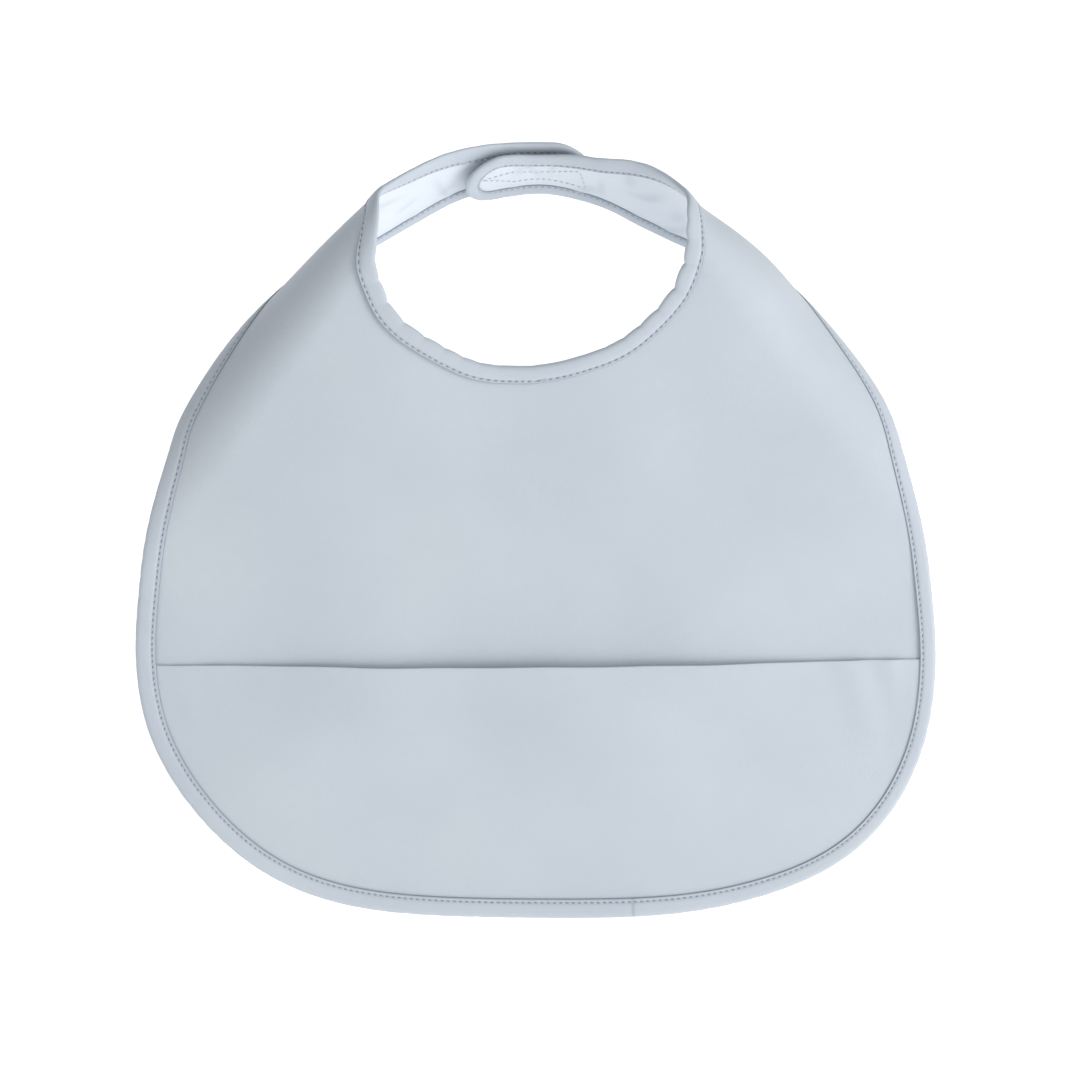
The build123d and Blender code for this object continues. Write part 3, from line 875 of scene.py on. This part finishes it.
# One hook and one loop: how far along the tape, and how far up from it.
HOOK = np.array([(0, 0), (0, 0.35), (0.03, 0.65), (0.15, 0.88), (0.34, 0.93), (0.48, 0.80), (0.50, 0.66)])
LOOP = np.array([(-0.35, 0), (-0.42, 0.35), (-0.30, 0.75), (0, 0.95), (0.30, 0.75), (0.42, 0.35), (0.35, 0)])
hook_patch = patch_piece("hook_patch_tape", 1, 1, 1.35, HOOK, np.linspace(0.16, 0.10, 7), 0.12, 5)
loop_patch = patch_piece("loop_patch_tape", -1, -1, 0.72, LOOP, np.full(7, 0.06), 1.0, 8)
hook_line, loop_line = Edge(patch_outline(1, HOOK_POINT), False), Edge(patch_outline(-1), True)
hook_stitches = stitch_row("hook_patch_stitches", hook_line, 0, PATCH_STITCH_RISE, (-1,))
loop_stitches = stitch_row("loop_patch_stitches", loop_line, 0, PATCH_STITCH_RISE, (1,))
finish_with(hook_tape, "hook_tape", hook_patch)
finish_with(loop_tape, "loop_tape", loop_patch)
finish_with(sewing_thread, "sewing_thread", hook_stitches, loop_stitches)


# ---- what stands for what, and what moves with what ------------------------------------------------
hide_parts("front_panel")
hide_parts("panel_lining")
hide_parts("pocket_panel", "pocket_lining")
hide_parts("edge_binding")
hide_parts("neck_binding")
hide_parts("edge_thread")
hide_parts("neck_thread")
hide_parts("left_strap_panel")
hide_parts("left_strap_lining")
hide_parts("left_strap_binding")
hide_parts("left_strap_thread")
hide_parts("right_strap_panel")
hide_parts("right_strap_lining")
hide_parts("right_strap_binding")
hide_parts("right_strap_thread")
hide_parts("hook_patch")
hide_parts("hook_patch_thread")
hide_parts("loop_patch")
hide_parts("loop_patch_thread")

for piece in (front_panel, panel_lining, pocket, edge_binding, neck_binding, edge_stitches, neck_stitches):
    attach(piece, "bib_body")


def bend_at_shoulder(piece, side):
    """Bakes the piece's placement into its mesh; its cloth was already built turning over the shoulder line.
    """
    out, around, _ = directions([side * STRAP_SPLIT])
    radius = float(neck_edge(side * BODY_LIMIT))
    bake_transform(piece)


for piece in (left_face, left_lining, left_binding, left_stitches):
    bend_at_shoulder(piece, -1)
for piece in (right_face, right_lining, right_binding, right_stitches):
    bend_at_shoulder(piece, 1)
for piece in (loop_patch, loop_stitches):
    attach(piece, "left_strap")
for piece in (hook_patch, hook_stitches):
    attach(piece, "right_strap")


# ---- cloth sizes -------------------------------------------------------------------------------------
def flat_area(angles, tips=None):
    """Area of the pattern between two edges, in square metres."""
    _, radii = panel_grid(angles, 2, tips)
    wedge = 0.5 * (radii[:, 1] ** 2 - radii[:, 0] ** 2)
    return float(np.sum((wedge[1:] + wedge[:-1]) / 2 * np.abs(np.diff(np.radians(angles))))) * MM * MM


def pocket_area():
    """Area of the pocket's one cloth laid flat, with both its layers, in square metres."""
    levels = np.linspace(POCKET_LOWEST, mouth_level(0.0), 200)
    widths = pocket_reach(-1, levels) + pocket_reach(1, levels)
    return float(2 * widths.mean() * (levels[-1] - levels[0])) * MM * MM


# The area of each cloth laid flat, in square metres.
body_area = flat_area(body_columns)
left_area = flat_area(left_columns, LEFT_TIP_PAST_CENTRE)
right_area = flat_area(right_columns, RIGHT_TIP_PAST_CENTRE)
pocket_area()


# ---- floor, backdrop, light and camera ------------------------------------------------------------
FLOOR = -0.42
WALL = 3.4


def backdrop():
    """A plain pale floor that curves up into the wall behind. It glows, and lights the bib softly."""
    top, bend_radius, half, front = 3.0, 1.2, 14.0, -14.0
    line = [(front, FLOOR), (WALL - bend_radius, FLOOR)]
    for turn in np.linspace(0, pi / 2, 16)[1:]:
        line.append((WALL - bend_radius + bend_radius * sin(turn), FLOOR + bend_radius * (1 - cos(turn))))
    line.append((WALL, top))
    vertices = [(x, y, z) for y, z in line for x in (-half, half)]
    faces = [(2 * i, 2 * i + 1, 2 * i + 3, 2 * i + 2) for i in range(len(line) - 1)]
    piece = make_mesh("backdrop", vertices, faces)
    material, _, _, shader = new_material("backdrop", (0.9, 0.9, 0.9), 0.9)
    shader.inputs["Emission Color"].default_value = (1.0, 0.99, 0.985, 1)
    shader.inputs["Emission Strength"].default_value = 0.57
    paint(piece, material)


def area_light(name, place, target, size, power):
    data = bpy.data.lights.new(name, "AREA")
    data.shape = "SQUARE"
    data.size = size
    data.energy = power
    light = bpy.data.objects.new(name, data)
    light.location = place
    way = np.array(target) - np.array(place)
    light.rotation_euler = Vector(way).to_track_quat("-Z", "Y").to_euler()
    bpy.context.scene.collection.objects.link(light)


backdrop()
BIB_MIDDLE = (0, 0, -0.08)
area_light("key", (1.4, -1.0, 0.36), BIB_MIDDLE, 1.0, 16.5)
area_light("fill", (-1.3, -1.8, 0.1), BIB_MIDDLE, 1.4, 0.6)

world = bpy.data.worlds.new("studio")
world.use_nodes = True
sky = world.node_tree.nodes["Background"]
sky.inputs["Color"].default_value = (0.97, 0.98, 1.0, 1)
sky.inputs["Strength"].default_value = 0.42
bpy.context.scene.world = world
bpy.context.scene.view_settings.view_transform = "Standard"

ELEVATION = radians(15)
DISTANCE = 2.6                # from the camera to the point it looks at
FRAME_WIDTH = 0.406           # how much of the bib's plane the picture spans
SENSOR_MM = 36.0
AIM = np.array([0.0019, -NECK_BEHIND_FRONT * MM, -0.1032])
camera_data = bpy.data.cameras.new("camera")
camera_data.sensor_width = SENSOR_MM
camera_data.lens = SENSOR_MM * DISTANCE / FRAME_WIDTH
camera = bpy.data.objects.new("camera", camera_data)
camera.location = AIM + DISTANCE * np.array([0, -cos(ELEVATION), sin(ELEVATION)])
camera.rotation_euler = (pi / 2 - ELEVATION, 0, 0)
bpy.context.scene.collection.objects.link(camera)
bpy.context.scene.camera = camera
